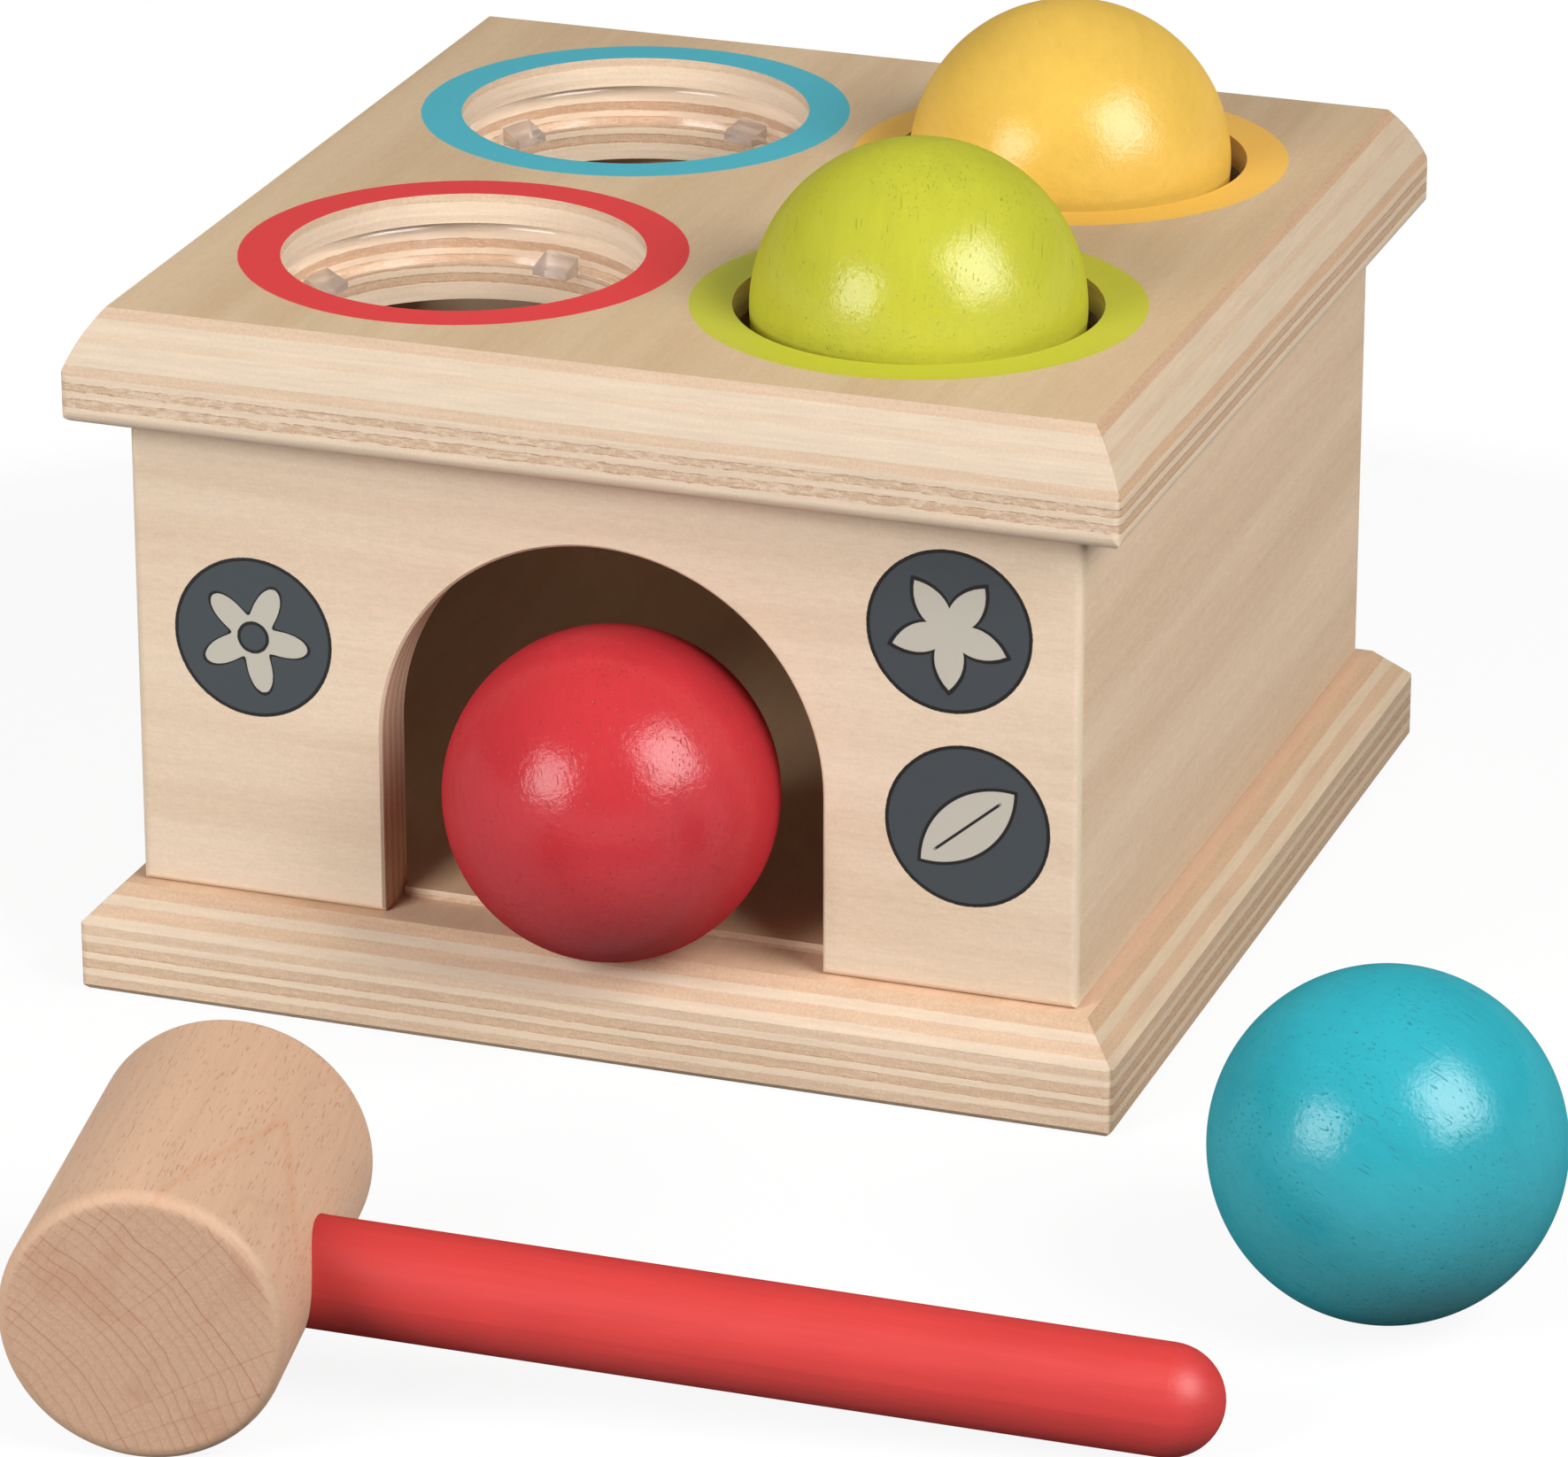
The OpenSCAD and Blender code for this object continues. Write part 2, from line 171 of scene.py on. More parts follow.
class PaintSettings(bpy.types.PropertyGroup):
    """Colours of the painted balls, rings, handle and print."""

    red: colour_property("Red", "Red ball", 193, 52, 58)
    blue: colour_property("Blue", "Blue ball", 46, 161, 175)
    green: colour_property("Green", "Green ball", 186, 185, 56)
    yellow: colour_property("Yellow", "Yellow ball", 227, 185, 83)
    handle: colour_property("Handle", "Hammer's handle", 202, 60, 57)
    red_ring: colour_property("Red ring", "Ring round the front left hole", 226, 59, 60)
    blue_ring: colour_property("Blue ring", "Ring round the back left hole", 75, 179, 195)
    green_ring: colour_property("Green ring", "Ring round the front right hole", 196, 195, 56)
    amber_ring: colour_property("Amber ring", "Ring round the back right hole", 249, 195, 85)
    charcoal: colour_property("Charcoal", "Discs printed on the front panel", 66, 72, 76)
    pale_grey: colour_property("Pale grey", "Motifs printed on the discs", 196, 191, 178)
    outline: colour_property("Outline", "Outlines of the print", 24, 22, 22)
    ring_width: size_property("Ring width", "Width of the paint round a hole", 6.4)
    disc_radius: size_property("Disc radius", "Radius of a printed disc", 12.6)


class PlasticSettings(bpy.types.PropertyGroup):
    """Look of the clear retaining rings."""

    tint: colour_property("Tint", "Tint of a ring's wall", 238, 236, 235)
    lug_tint: colour_property("Lug tint", "Colour of the thicker lugs", 180, 164, 154)
    roughness: bpy.props.FloatProperty(
        name="Roughness", description="Roughness of the clear plastic", subtype="FACTOR", min=0, max=1, default=0.13
    )


class StageSettings(bpy.types.PropertyGroup):
    """Camera, lamps and surroundings."""

    azimuth: bpy.props.FloatProperty(
        name="Azimuth", description="Camera's turn to the right", subtype="ANGLE", default=math.radians(19.439)
    )
    elevation: bpy.props.FloatProperty(
        name="Elevation", description="Camera's height angle", subtype="ANGLE", default=math.radians(22.058)
    )
    roll: bpy.props.FloatProperty(
        name="Roll", description="Camera's roll", subtype="ANGLE", default=math.radians(-0.039)
    )
    target: bpy.props.FloatVectorProperty(
        name="Target", description="Point in the image's middle", subtype="TRANSLATION", unit="LENGTH",
        default=(0.02420, -0.06241, 0.04905)
    )
    distance: size_property("Distance", "From the camera to the target", 1176.36)
    lens: bpy.props.FloatProperty(
        name="Lens", description="Focal length, for an image 36 mm wide", subtype="DISTANCE_CAMERA", default=182.96
    )
    ambient: bpy.props.FloatProperty(
        name="Ambient", description="Light from all round", min=0, max=1, default=0.125
    )
    floor: colour_property("Floor", "Plain pale floor", 246, 246, 246)


class Value:
    """A socket of a finish; arithmetic on it adds Math nodes."""

    def __init__(self, finish, socket):
        self.finish = finish
        self.socket = socket

    def __add__(self, other):
        return self.finish.math("ADD", self, other)

    def __radd__(self, other):
        return self.finish.math("ADD", other, self)

    def __sub__(self, other):
        return self.finish.math("SUBTRACT", self, other)

    def __rsub__(self, other):
        return self.finish.math("SUBTRACT", other, self)

    def __mul__(self, other):
        return self.finish.math("MULTIPLY", self, other)

    def __rmul__(self, other):
        return self.finish.math("MULTIPLY", other, self)

    def __truediv__(self, other):
        return self.finish.math("DIVIDE", self, other)

    def __rtruediv__(self, other):
        return self.finish.math("DIVIDE", other, self)

    def __abs__(self):
        return self.finish.math("ABSOLUTE", self)


class Finish:
    """One procedural material, built from expressions on its sockets."""

    def __init__(self, name):
        self.material = bpy.data.materials.new(name)
        self.material.use_nodes = True
        self.tree = self.material.node_tree
        self.tree.nodes.clear()

    def node(self, kind, settings=None, sockets=None, out=0):
        """Adds a node, sets it up, then gives its sockets their values or links; returns one output."""
        made = self.tree.nodes.new(kind)
        for name, value in (settings or {}).items():
            if name == "stops":
                self.set_stops(made.color_ramp.elements, value)
            else:
                setattr(made, name, value)
        for name, value in (sockets or {}).items():
            if isinstance(value, Value):
                self.tree.links.new(value.socket, made.inputs[name])
            else:
                made.inputs[name].default_value = value
        return Value(self, made.outputs[out]) if made.outputs else None

    @staticmethod
    def set_stops(elements, stops):
        """Gives a ramp its stops, in order, each a place from 0 to 1 and a grey level."""
        elements[0].position, elements[1].position = stops[0][0], stops[-1][0]
        for place, _ in stops[1:-1]:
            elements.new(place)
        for element, (_, level) in zip(elements, stops):
            element.color = (level, level, level, 1.0)

    def math(self, operation, first, second=0.0):
        return self.node("ShaderNodeMath", {"operation": operation}, {0: first, 1: second})

    def vector_math(self, operation, first, second, out=0):
        return self.node("ShaderNodeVectorMath", {"operation": operation}, {0: first, 1: second}, out)

    def place(self, centre=(0, 0, 0)):
        """Millimetres from a point of the frame, given in metres."""
        metres = self.node("ShaderNodeTexCoord", out="Object")
        away = self.vector_math("SUBTRACT", metres, tuple(centre))
        return self.scale(away, 1 / MM)

    def normal(self):
        return self.node("ShaderNodeTexCoord", out="Normal")

    def parts(self, vector):
        """The three parts of a vector."""
        split = self.node("ShaderNodeSeparateXYZ", sockets={"Vector": vector}).socket.node
        return [Value(self, output) for output in split.outputs]

    def vector(self, x, y, z):
        return self.node("ShaderNodeCombineXYZ", sockets={"X": x, "Y": y, "Z": z})

    def stretch(self, vector, x, y, z):
        return self.vector_math("MULTIPLY", vector, (x, y, z))

    def dot(self, vector, direction):
        return self.vector_math("DOT_PRODUCT", vector, tuple(direction), "Value")

    def scale(self, vector, factor):
        return self.node("ShaderNodeVectorMath", {"operation": "SCALE"}, {0: vector, "Scale": factor})

    def noise(self, vector, scale, detail=1.0, roughness=0.5):
        """Soft noise round 0.5, with scale waves to a millimetre."""
        sockets = {"Vector": vector, "Scale": scale, "Detail": detail, "Roughness": roughness}
        return self.node("ShaderNodeTexNoise", sockets=sockets)

    def random(self, number):
        """An even random value from 0 to 1 for each whole number."""
        return self.node("ShaderNodeTexWhiteNoise", {"noise_dimensions": "1D"}, {"W": number})

    def step(self, value, start, end):
        """A smooth step from 0 at start to 1 at end."""
        sockets = {"Value": value, "From Min": start, "From Max": end}
        return self.node("ShaderNodeMapRange", {"interpolation_type": "SMOOTHSTEP"}, sockets)

    def mix(self, factor, first, second):
        """A colour between two, each a socket or a linear colour."""
        shades = [c if isinstance(c, Value) else (*c, 1.0) for c in (first, second)]
        sockets = {0: factor, 6: shades[0], 7: shades[1]}
        return self.node("ShaderNodeMix", {"data_type": "RGBA"}, sockets, 2)

    def shader(self, colour, roughness, height=None, **constants):
        """A shader with a colour, a roughness, a relief in millimetres and constant sockets."""
        sockets = {"Base Color": colour, "Roughness": roughness}
        if height is not None:
            sockets["Normal"] = self.node("ShaderNodeBump", sockets={"Distance": MM, "Height": height})
        sockets.update({name.replace("_", " "): value for name, value in constants.items()})
        return self.node("ShaderNodeBsdfPrincipled", sockets=sockets)

    def glossed(self, colour, roughness, height, share):
        """Dull paint under an even gloss: a share of the light is mirrored, the same at every slant."""
        paint = self.shader(colour, DULL_ROUGH, height, Specular_IOR_Level=0.0)
        gloss = self.shader((1.0, 1.0, 1.0, 1.0), roughness, height, Metallic=1.0)
        return self.blend(share, paint, gloss)

    def blend(self, factor, first, second):
        """Two shaders mixed by a factor."""
        return self.node("ShaderNodeMixShader", sockets={0: factor, 1: first, 2: second})

    def ended(self, shader):
        """Puts a shader on the surface and gives the finished material."""
        self.node("ShaderNodeOutputMaterial", sockets={"Surface": shader})
        return self.material


def ply_stops(plies, soft=0.05):
    """Stops of a ramp through a sheet: each ply keeps its brown but for soft millimetres at its faces."""
    thickness = sum(ply for ply, _ in plies)
    stops, below = [], 0.0
    for ply, brown in plies:
        stops += [((below + soft) / thickness, brown), ((below + ply - soft) / thickness, brown)]
        below += ply
    return stops


def laminate(finish, wood, place, through, share, plies, cut, ragged, slope=0.0):
    """Colour and relief of a plywood edge.

    share runs through the sheet from 0 to 1, along the axis that is named. cut scales how brown the plies
    are, ragged from 0 to 1 breaks the brown ones into small patches, and a slope has its own two colours,
    its pale one a darker copy of the pale ply as painted shade on slopes.
    Streaks run along the plies, and speckles show where wood is cut across its grain.
    """
    thickness = sum(ply for ply, _ in plies)
    long = finish.stretch(place, *(1.0 if axis == through else 0.05 for axis in "xyz"))
    short = finish.stretch(place, *(1.0 if axis == through else 0.36 for axis in "xyz"))
    fray = finish.noise(short, 1.3, 3.0, 0.65) - 0.5
    wave = (finish.noise(place, 0.02) - 0.5) * 0.6 + fray * (0.25 + 0.75 * ragged)
    layer = finish.node("ShaderNodeValToRGB", {"stops": ply_stops(plies)}, {"Fac": share + wave / thickness})
    streak = finish.noise(long, 1.5, 3.0, 0.6)
    speckle = finish.noise(place, 2.4, 3.0, 0.75)
    patch = finish.step(finish.noise(short, 1.5, 3.0, 0.75), 0.40, 0.55)
    brown = layer * cut * (1 - ragged * (1 - patch) * 0.85)
    shade = 1 + (streak - 0.5) * 0.30 + (speckle - 0.5) * (0.24 + brown * 0.50)
    dark = finish.mix(slope, wood.brown_ply, wood.warm_ply)
    # On slopes the pale plies take a darker copy of their colour: painted shade
    pale = finish.mix(slope, wood.pale_ply, wood.shaded_slope_ply)
    colour = finish.scale(finish.mix(brown, pale, dark), shade)
    height = (streak - 0.5) * 0.05 + (speckle - 0.5) * brown * 0.12 - brown * 0.05
    return colour, height


def veneer(finish, place, along, base, contrast):
    """Colour and relief of a sanded face: broad soft bands, faint fibres and fine speckles."""
    drawn = finish.stretch(place, *(0.05 if axis == along else 1.0 for axis in "xyz"))
    bands = finish.noise(drawn, 0.09, 3.0, 0.6)
    fibres = finish.noise(drawn, 0.9, 3.0, 0.7)
    short = finish.noise(finish.stretch(place, *(0.25 if axis == along else 1.0 for axis in "xyz")), 2.0, 3.0, 0.7)
    speckle = finish.noise(place, 2.2, 3.0, 0.75)
    uneven = (bands - 0.5) * 1.4 + (fibres - 0.5) * 0.5 + (short - 0.5) * 0.9 + (speckle - 0.5) * 0.9
    warm = finish.mix(finish.step(bands, 0.35, 0.62), (1.0, 0.965, 0.92), (1.0, 1.0, 1.0))
    colour = finish.vector_math("MULTIPLY", finish.scale(warm, 1 + uneven * contrast), tuple(base))
    return colour, (fibres - 0.5) * 0.02 + (speckle - 0.5) * 0.02


def board_finish(name, wood, node, base, plies, looks):
    """Plywood of a board that lies flat: veneer above and below, plies on every cut edge.

    base is the veneer's colour. looks gives, for the front, the sides and the insides of holes, how brown
    the plies are on an upright edge and on a slope, how ragged they are, the levels of painted light and shade
    that scale their colour there, and its warmth. Inside a hole the plies above its groove are paler.
    """
    edge_depth, paler, groove_top, warm_tint = 10.0, 0.55, (0.53, 0.56), (1.0, 0.96, 0.88)
    finish = Finish(name)
    place = finish.place()
    low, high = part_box(node)
    x, y, z = finish.parts(place)
    normal_x, normal_y, normal_z = finish.parts(finish.normal())
    side = finish.step(abs(normal_x) - abs(normal_y), -0.2, 0.2)
    slope = finish.step(normal_z, 0.10, 0.30)
    rim = finish.math("MAXIMUM", abs(x) - high.x / MM, abs(y) - high.y / MM)
    outside = finish.step(rim, -edge_depth, 1.0 - edge_depth)
    upright, sloping, ragged, level, painted_slope_level, warmth = (
        inside + (front + (beside - front) * side - inside) * outside for front, beside, inside in looks
    )
    cut = upright + (sloping - upright) * slope
    # Painted light and shade: the edge colour's level is set by facing and by slope, not by the wood
    level = level + (painted_slope_level - level) * slope
    share = (z - low.z / MM) / ((high.z - low.z) / MM)
    cut = cut * (1 - paler * (1 - outside) * finish.step(share, *groove_top))
    edge, edge_height = laminate(finish, wood, place, "z", share, plies, cut, ragged * (1 - slope), slope)
    tint = finish.mix(warmth, (1.0, 1.0, 1.0), warm_tint)
    # The edge colour is scaled by its painted light level
    edge = finish.scale(finish.vector_math("MULTIPLY", edge, tint), level)
    face, face_height = veneer(finish, place, "y", base, BOARD_CONTRAST)
    flat = finish.step(abs(normal_z), 0.93, 0.98)
    colour = finish.mix(flat, edge, face)
    height = edge_height * (1 - flat) + face_height * flat
    return finish, colour, height, normal_z


def painted_top_finish(wood, paint):
    """The top board's plywood, with a ring of paint round each hole."""
    finish, colour, height, normal_z = board_finish(
        "painted_top_plywood", wood, "top_board", wood.top_veneer, TOP_PLIES, TOP_LOOKS
    )
    inner = hole_radius() / MM
    outer = inner + paint.ring_width / MM
    _, _, z = finish.parts(finish.place())
    facing_up = finish.step(normal_z, 0.93, 0.98) * finish.step(z, top_z() - 1.0, top_z() - 0.5)
    shades = dict(zip(HOLES, (paint.red_ring, paint.blue_ring, paint.green_ring, paint.amber_ring)))
    wave = (finish.noise(finish.place(), 0.8) - 0.5) * 0.15
    coat_level = 0.94 + 0.12 * finish.noise(finish.place(), 1.5, 3.0, 0.6)
    rough = DULL_ROUGH
    for hole, shade in shades.items():
        x, y, _ = finish.parts(finish.place(middle("ring_" + hole)))
        away = finish.math("SQRT", x * x + y * y) + wave
        ring = finish.step(away, outer + 0.06, outer - 0.06) * facing_up
        colour = finish.mix(ring, colour, finish.scale(tuple(shade), coat_level))
        height = height * (1 - ring * 0.6)
        rough = rough - ring * 0.12
    return finish.ended(finish.shader(colour, rough, height, Specular_IOR_Level=WOOD_SHINE))


def disc_print(finish, paint, colour, x, z, centre, motif):
    """Prints one outlined disc with a motif on a panel, round a centre given in millimetres."""
    u, v = x - centre[0], z - centre[1]
    away = finish.math("SQRT", u * u + v * v)
    turn = finish.math("ARCTAN2", v, u)
    radius = paint.disc_radius / MM
    ragged = (finish.noise(finish.place(), 2.0) - 0.5) * 0.12
    inside, edges = motif(finish, u, v, away + ragged, turn)
    disc = finish.step(away + ragged, radius, radius - 0.15)
    rim = finish.step(abs(away + ragged - radius + 0.25), 0.34, 0.22)
    colour = finish.mix(disc, colour, paint.charcoal)
    colour = finish.mix(inside, colour, paint.pale_grey)
    line = finish.math("MAXIMUM", rim, edges)
    return finish.mix(line, colour, paint.outline), finish.math("MAXIMUM", disc, rim)


def outlined(finish, distance):
    """A filled shape and its outline, from a distance that is below zero inside."""
    return finish.step(distance, 0.05, -0.05), finish.step(abs(distance), 0.32, 0.20)


# Motifs of the printed discs. Each takes a point as u and v, across and up from the disc's middle, and as
# its distance away and its turn, and gives a fill and its outlines. Lengths are in millimetres.


def flower_motif(finish, u, v, away, turn):
    """Five round petals: the radius swells and shrinks five times a turn; a round eye sits inside."""
    petals = away - (6.4 + 2.6 * finish.math("COSINE", turn * 5.0 + 0.6))
    fill, edge = outlined(finish, petals)
    eye, eye_edge = outlined(finish, away - 2.3)
    return fill * (1 - eye), finish.math("MAXIMUM", edge, eye_edge)


def star_motif(finish, u, v, away, turn):
    """Five points: the radius falls evenly from each point to the notch between two."""
    fifth = finish.math("FLOORED_MODULO", turn / (2 * math.pi) * 5.0 + 0.25, 1.0)
    points = away - (4.0 + 11.0 * abs(fifth - 0.5))
    return outlined(finish, points * 0.6)


def leaf_motif(finish, u, v, away, turn):
    """The lens between two circles, with a midrib along it."""
    reach, offset, tilt = 12.5, 8.0, 0.7
    c, s = math.cos(tilt), math.sin(tilt)
    along, side = u * c + v * s, v * c - u * s
    right = finish.math("SQRT", along * along + (side + offset) * (side + offset))
    left = finish.math("SQRT", along * along + (side - offset) * (side - offset))
    fill, edge = outlined(finish, finish.math("MAXIMUM", right, left) - reach)
    rib = finish.step(abs(side), 0.28, 0.16) * finish.step(abs(along), 7.0, 6.0)
    return fill, finish.math("MAXIMUM", edge, rib)


# Places of the printed discs on the front panel, across and up, in millimetres
PRINTS = (((-55, 58), flower_motif), ((54, 73), star_motif), ((57, 43), leaf_motif))


def panel_finish(name, wood, node, along, through, base, contrast, paint=None):
    """Plywood of an upright panel: veneer on both faces, the inner one darkened as painted shade for the box's
    inside, and plies at its cut edges.
    """
    inner_painted_shade = 0.3
    finish = Finish(name)
    place = finish.place()
    low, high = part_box(node)
    axis = "xyz".index(through)
    normal = finish.parts(finish.normal())[axis]
    outward = normal * math.copysign(1.0, middle(node)[axis])
    depth = finish.parts(place)[axis] - low[axis] / MM
    share = depth / ((high[axis] - low[axis]) / MM)
    cut, cut_height = laminate(finish, wood, place, through, share, PANEL_PLIES, cut=0.9, ragged=0.2)
    face, face_height = veneer(finish, place, along, base, contrast)
    # Painted shade: the veneer on a panel's inner face is darkened to stand for the shade inside the box
    face = finish.scale(face, 1 - inner_painted_shade * finish.step(outward, -0.80, -0.95))
    flat = finish.step(abs(normal), 0.80, 0.95)
    colour = finish.mix(flat, cut, face)
    height = cut_height * (1 - flat) + face_height * flat
    rough = 0.58
    if paint is not None:
        x, _, z = finish.parts(place)
        shown = finish.step(outward, 0.9, 0.98)
        bare = colour
        for centre, motif in PRINTS:
            colour, printed = disc_print(finish, paint, colour, x, z, centre, motif)
            rough = rough - printed * shown * 0.15
        colour = finish.mix(shown, bare, colour)
    return finish.ended(finish.shader(colour, rough, height, Specular_IOR_Level=WOOD_SHINE))


def ramp_finish(wood):
    """Thin plain plywood."""
    finish = Finish("ramp_plywood")
    place = finish.place()
    normal_z = finish.parts(finish.normal())[2]
    thickness = sum(ply for ply, _ in RAMP_PLIES)
    share = (finish.parts(place)[2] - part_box("ramp_board")[0].z / MM) / thickness
    cut, cut_height = laminate(finish, wood, place, "z", share, RAMP_PLIES, cut=0.9, ragged=0.5)
    face, face_height = veneer(finish, place, "y", wood.ramp_veneer, PLAIN_CONTRAST)
    flat = finish.step(abs(normal_z), 0.80, 0.95)
    colour = finish.mix(flat, cut, face)
    height = cut_height * (1 - flat) + face_height * flat
    return finish.ended(finish.shader(colour, 0.65, height, Specular_IOR_Level=WOOD_SHINE))


def dowel_finish(wood):
    """Plain beech dowel, its grain upright."""
    finish = Finish("plain_beech_dowel")
    colour, height = veneer(finish, finish.place(), "z", wood.beech, PLAIN_CONTRAST)
    return finish.ended(finish.shader(colour, DULL_ROUGH, height))


def clear_plastic_finish(name, plastic, centre, hole):
    """Clear soft plastic that lets lamps through to the wood behind it; lugs inside the hole are milky."""
    milk_share = 0.48
    finish = Finish(name)
    place = finish.place(centre)
    x, y, _ = finish.parts(place)
    cloud = finish.noise(place, 0.4, 2.0)
    lug = finish.step(finish.math("SQRT", x * x + y * y), hole - 0.2, hole - 0.6)
    rough = plastic.roughness + (cloud - 0.5) * 0.06
    height = (finish.noise(place, 0.8, 1.0) - 0.5) * 0.02
    tint = finish.scale(tuple(plastic.tint), 0.96 + 0.06 * cloud)
    clear = finish.shader(
        tint, rough, height, Transmission_Weight=1.0, IOR=1.15, Coat_Weight=1.0, Coat_Roughness=0.14
    )
    milk = finish.scale(tuple(plastic.lug_tint), 0.94 + 0.12 * cloud)
    milky = finish.shader(milk, rough + 0.2, height, Specular_IOR_Level=0.4)
    passing = finish.node("ShaderNodeBsdfTransparent", sockets={"Color": (*plastic.tint, 1.0)})
    lamp = finish.node("ShaderNodeLightPath", out="Is Shadow Ray")
    return finish.ended(finish.blend(lamp, finish.blend(lug * milk_share, clear, milky), passing))


def painted_ball_finish(name, shade, centre, turn, worn):
    """Paint on a turned ball: pores and short cracks along the grain, and a fine orange-peel relief.

    worn scales how strongly the pores and cracks show.
    """
    finish = Finish(name)
    sockets = {"Vector": finish.place(centre), "Rotation": turn}
    turned = finish.node("ShaderNodeMapping", {"vector_type": "POINT"}, sockets)
    cloud = finish.noise(turned, 0.05, 4.0, 0.6)
    crowd = finish.step(finish.noise(turned, 0.07, 1.0), 0.46, 0.64) * worn
    pores = finish.step(finish.noise(finish.stretch(turned, 1.0, 1.0, 0.55), 2.8, 0.0), 0.71, 0.78) * crowd
    cracks = finish.step(finish.noise(finish.stretch(turned, 1.0, 1.0, 0.10), 2.6, 0.0), 0.75, 0.80) * worn
    peel = finish.noise(turned, 1.0, 3.0, 0.65)
    fibres = finish.noise(finish.stretch(turned, 1.0, 1.0, 0.15), 0.7, 3.0, 0.6)
    level = 1 + (cloud - 0.5) * 0.26 + (fibres - 0.5) * 0.14 - pores * 0.22 - cracks * 0.24
    colour = finish.scale(tuple(shade), level)
    rough = 0.19 + (cloud - 0.5) * 0.10 + pores * 0.45 + cracks * 0.3
    height = (peel - 0.5) * 0.085 + (fibres - 0.5) * 0.03 - pores * 0.06 - cracks * 0.05
    return finish.ended(finish.glossed(colour, rough, height, BALL_GLOSS - pores * PORE_GLOSS_LOSS))


def beech_finish(wood):
    """Beech of the hammer's head: growth rings round a pith outside it, rays, and short flecks."""
    finish = Finish("sanded_beech")
    handle = handle_direction()
    along = Vector((handle.y, -handle.x, 0)).normalized()
    side = Vector((handle.x, handle.y, 0)).normalized()
    place = finish.place(middle("hammer_head"))
    a, s, u = finish.dot(place, along), finish.dot(place, side), finish.dot(place, (0, 0, 1))
    local = finish.vector(a, s, u)
    pith_s, pith_u, ring_width, rays_per_radian, arrow_s, arrow_slant = -42.0, -34.0, 1.7, 26.0, 12.5, 3.4
    ds, du = s - pith_s + a * 0.06, u - pith_u
    wobble = (finish.noise(finish.stretch(local, 0.2, 1.0, 1.0), 0.10, 2.0) - 0.5) * 3.0
    rings = (finish.math("SQRT", ds * ds + du * du) + wobble) / ring_width
    index = finish.math("FLOOR", rings)
    late = finish.step(rings - index, 0.35, 1.0) * 0.35 + finish.step(abs(rings - index - 0.9), 0.10, 0.03)
    late = late * (0.2 + 0.8 * finish.random(index))
    bearing = finish.math("ARCTAN2", du, ds) * rays_per_radian + (finish.noise(local, 0.15) - 0.5) * 0.3
    ray_index = finish.math("FLOOR", bearing)
    ray = finish.step(abs(bearing - ray_index - 0.5), 0.07, 0.02) * finish.random(ray_index + 7.0)
    ray = ray * finish.step(finish.noise(local, 0.12), 0.36, 0.52)
    facing = abs(finish.dot(finish.normal(), along))
    end = finish.step(facing, 0.90, 0.99)
    rim = finish.step(facing, 0.10, 0.35) * (1 - end)
    fleck = finish.step(finish.noise(finish.stretch(local, 0.15, 1.0, 1.0), 3.3, 0.0), 0.66, 0.75)
    fleck = fleck * (1 - end) * (1 - rim)
    fine = finish.noise(finish.stretch(local, 0.06, 1.0, 1.0), 1.2, 3.0, 0.6)
    speckle = finish.noise(local, 2.6, 3.0, 0.7)
    smudge = finish.step(finish.noise(finish.stretch(local, 0.3, 1.0, 1.0), 0.09, 3.0), 0.52, 0.66)
    arrow = a - abs(s - arrow_s) * arrow_slant + (finish.noise(local, 0.12, 2.0) - 0.5) * 5.0
    vein = finish.step(abs(arrow + 5.0), 3.4, 0.6) * finish.step(u, 4.0, 9.0) * (1 - end)
    # Painted shade: the rounded rim between the sides and the ends is darkened by 8 percent
    shade = 1 + (fine - 0.5) * 0.22 + (speckle - 0.5) * (0.14 + 0.30 * end) - rim * 0.08
    colour = finish.scale(finish.mix(end, wood.beech, wood.beech_end), shade)
    colour = finish.mix(late * (0.10 + 0.34 * end) + ray * end * 0.36, colour, wood.beech_fleck)
    colour = finish.mix(vein * 0.32, colour, wood.beech_vein)
    colour = finish.mix(fleck * 0.36 + smudge * end * 0.22, colour, wood.beech_fleck)
    height = (fine - 0.5) * 0.02 - fleck * 0.03 + (speckle - 0.5) * end * 0.06 - late * end * 0.02
    return finish.ended(finish.shader(colour, DULL_ROUGH, height, Specular_IOR_Level=BEECH_SHINE))


def handle_finish(paint):
    """Satin paint on the handle, with faint streaks along it."""
    finish = Finish("satin_red_handle")
    along = handle_direction()
    place = finish.place(middle("hammer_handle"))
    shrink = 0.04
    a = finish.dot(place, along)
    taken = finish.vector_math("MULTIPLY", finish.vector(a, a, a), tuple(along * (1 - shrink)))
    drawn = finish.vector_math("SUBTRACT", place, taken)
    streak = finish.noise(drawn, 0.9, 3.0, 0.6)
    cloud = finish.noise(place, 0.05, 2.0)
    level = 1 + (streak - 0.5) * 0.22 + (cloud - 0.5) * 0.16
    colour = finish.scale(tuple(paint.handle), level)
    height = (streak - 0.5) * 0.03 + (finish.noise(place, 1.8, 2.0) - 0.5) * 0.02
    rough = 0.44 + (streak - 0.5) * 0.15
    return finish.ended(finish.glossed(colour, rough, height, HANDLE_GLOSS + (cloud - 0.5) * 0.01))


def dress(node, material):
    """Gives a node of the frame its material."""
    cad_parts[node].material_slots[0].material = material


